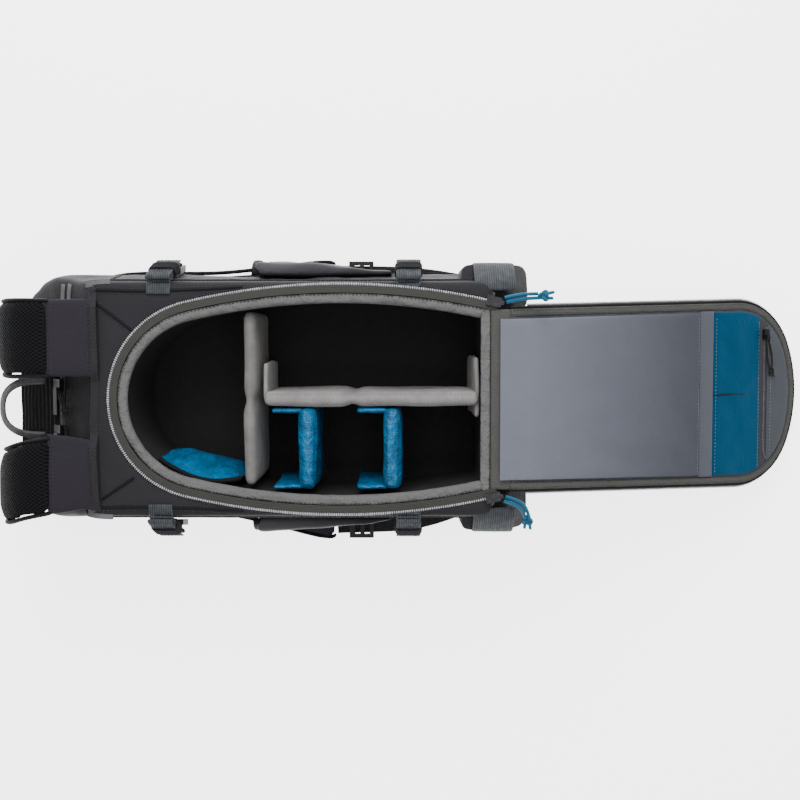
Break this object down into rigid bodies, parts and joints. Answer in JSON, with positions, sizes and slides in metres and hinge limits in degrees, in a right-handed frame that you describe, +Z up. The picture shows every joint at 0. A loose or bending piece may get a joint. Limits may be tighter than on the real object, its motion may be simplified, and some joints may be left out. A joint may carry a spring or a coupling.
{
  "type": "camera bag",
  "caption": "Camera backpack lying on its front with the rear access lid folded open, showing padded dividers, zips, shoulder straps, side webbing and a haul loop.",
  "frame": {"origin": "middle of the flat front pocket face that the bag lies on", "axes": "+X towards the bag's foot, where the lid is hinged; +Y towards the wearer's left; +Z up, out of the opening"},
  "size_m": [0.815, 0.295, 0.1845],
  "materials": {
    "shell_nylon": "satin coated nylon",
    "foam_black": "closed-cell foam",
    "lining_grey": "brushed loop lining",
    "lining_dark": "dark nylon lining",
    "zip_tape": "woven tape",
    "zip_coil": "nylon coil",
    "zip_metal": "black painted zinc",
    "webbing_grey": "ribbed nylon webbing",
    "webbing_black": "black nylon webbing",
    "buckle_plastic": "moulded acetal",
    "strap_fabric": "plain coated nylon",
    "strap_mesh": "spacer mesh",
    "divider_grey": "brushed loop fabric",
    "blue_nylon": "bright nylon",
    "lid_grey": "light coated nylon",
    "cord_blue": "braided cord",
    "cord_black": "braided cord"
  },
  "bodies": {
    "bag": {"compression_straps_left": "webbing_grey", "compression_straps_right": "webbing_grey", "floor_padding": "foam_black", "foot_padding": "foam_black", "front_pocket": "shell_nylon", "front_pocket_zip": "zip_tape", "head_padding": "foam_black", "hinge_strip": "lining_grey", "hip_webbing_left": "webbing_grey", "hip_webbing_right": "webbing_grey", "ladder_locks": "buckle_plastic", "lining_tub": "lining_dark", "opening_zip_tape": "zip_tape", "opening_zip_teeth": "zip_coil", "outer_shell": "shell_nylon", "rim_band": "lining_grey", "side_padding_left": "foam_black", "side_padding_right": "foam_black", "side_pocket_left": "shell_nylon", "side_pocket_right": "shell_nylon", "side_release_buckles": "buckle_plastic", "strap_keepers": "webbing_black", "strap_pad_left": "strap_mesh", "strap_pad_right": "strap_mesh", "strap_webbing_left": "webbing_black", "strap_webbing_right": "webbing_black", "strap_wing_left": "strap_fabric", "strap_wing_right": "strap_fabric", "top_pocket_panel": "shell_nylon", "top_pocket_zip": "zip_tape", "wall_pocket": "blue_nylon", "yoke_panel": "shell_nylon"},
    "lid": {"lid_cover": "shell_nylon", "lid_end_panel": "lid_grey", "lid_foam": "foam_black", "lid_gusset": "lining_grey", "lid_lining": "lid_grey", "lid_padded_panel": "lid_grey", "lid_pocket": "blue_nylon", "lid_pocket_zip": "zip_tape", "lid_welt": "lid_grey", "lid_zip_teeth": "zip_coil", "back_pads": "strap_mesh"},
    "lid_pocket_pull": {"lid_pocket_slider": "zip_metal", "lid_pull_cord": "cord_black", "lid_pull_knot": "cord_black"},
    "main_zip_left": {"main_slider_left": "zip_metal", "main_pull_cord_left": "cord_blue", "main_pull_knot_left": "cord_blue"},
    "main_zip_right": {"main_slider_right": "zip_metal", "main_pull_cord_right": "cord_blue", "main_pull_knot_right": "cord_blue"},
    "top_zip_left": {"top_pocket_slider_left": "zip_metal"},
    "top_zip_right": {"top_pocket_slider_right": "zip_metal"},
    "front_zip": {"front_pocket_slider": "zip_metal"},
    "haul_loop": {"grab_handle": "webbing_grey"},
    "cross_divider_body": {"cross_divider": "divider_grey"},
    "long_divider_body": {"long_divider": "divider_grey"},
    "short_divider_head_body": {"short_divider_head": "blue_nylon"},
    "short_divider_foot_body": {"short_divider_foot": "blue_nylon"}
  },
  "joints": [
    {"name": "lid_hinge", "type": "hinge", "parent": "bag", "child": "lid", "pos_m": [0.223, 0, 0.175], "axis": [0, -1, 0], "range_deg": [0, 206.3]},
    {"name": "main_zip_left_travel", "type": "hinge", "parent": "bag", "child": "main_zip_left", "pos_m": [0.073, -0.52249, 0.17], "axis": [0, 0, 1], "range_deg": [0, 25]},
    {"name": "main_zip_right_travel", "type": "hinge", "parent": "bag", "child": "main_zip_right", "pos_m": [0.073, 0.52249, 0.17], "axis": [0, 0, -1], "range_deg": [0, 25]},
    {"name": "lid_pocket_zip_travel", "type": "slide", "parent": "lid", "child": "lid_pocket_pull", "axis": [0, 1, 0], "range_m": [-0.125, 0]},
    {"name": "top_zip_left_travel", "type": "slide", "parent": "bag", "child": "top_zip_left", "axis": [0, 1, 0], "range_m": [0, 0.048]},
    {"name": "top_zip_right_travel", "type": "slide", "parent": "bag", "child": "top_zip_right", "axis": [0, -1, 0], "range_m": [0, 0.024]},
    {"name": "front_zip_travel", "type": "slide", "parent": "bag", "child": "front_zip", "axis": [0, 1, 0], "range_m": [0, 0.078]},
    {"name": "haul_loop_lift", "type": "hinge", "parent": "bag", "child": "haul_loop", "pos_m": [-0.214, -0.01, 0.129], "axis": [0, 1, 0], "range_deg": [0, 70]},
    {"name": "cross_divider_lift", "type": "slide", "parent": "bag", "child": "cross_divider_body", "axis": [0, 0, -1], "range_m": [-0.14, 0]},
    {"name": "long_divider_lift", "type": "slide", "parent": "bag", "child": "long_divider_body", "axis": [0, 0, -1], "range_m": [-0.14, 0]},
    {"name": "short_divider_head_lift", "type": "slide", "parent": "bag", "child": "short_divider_head_body", "axis": [0, 0, -1], "range_m": [-0.14, 0]},
    {"name": "short_divider_foot_lift", "type": "slide", "parent": "bag", "child": "short_divider_foot_body", "axis": [0, 0, -1], "range_m": [-0.14, 0]}
  ]
}
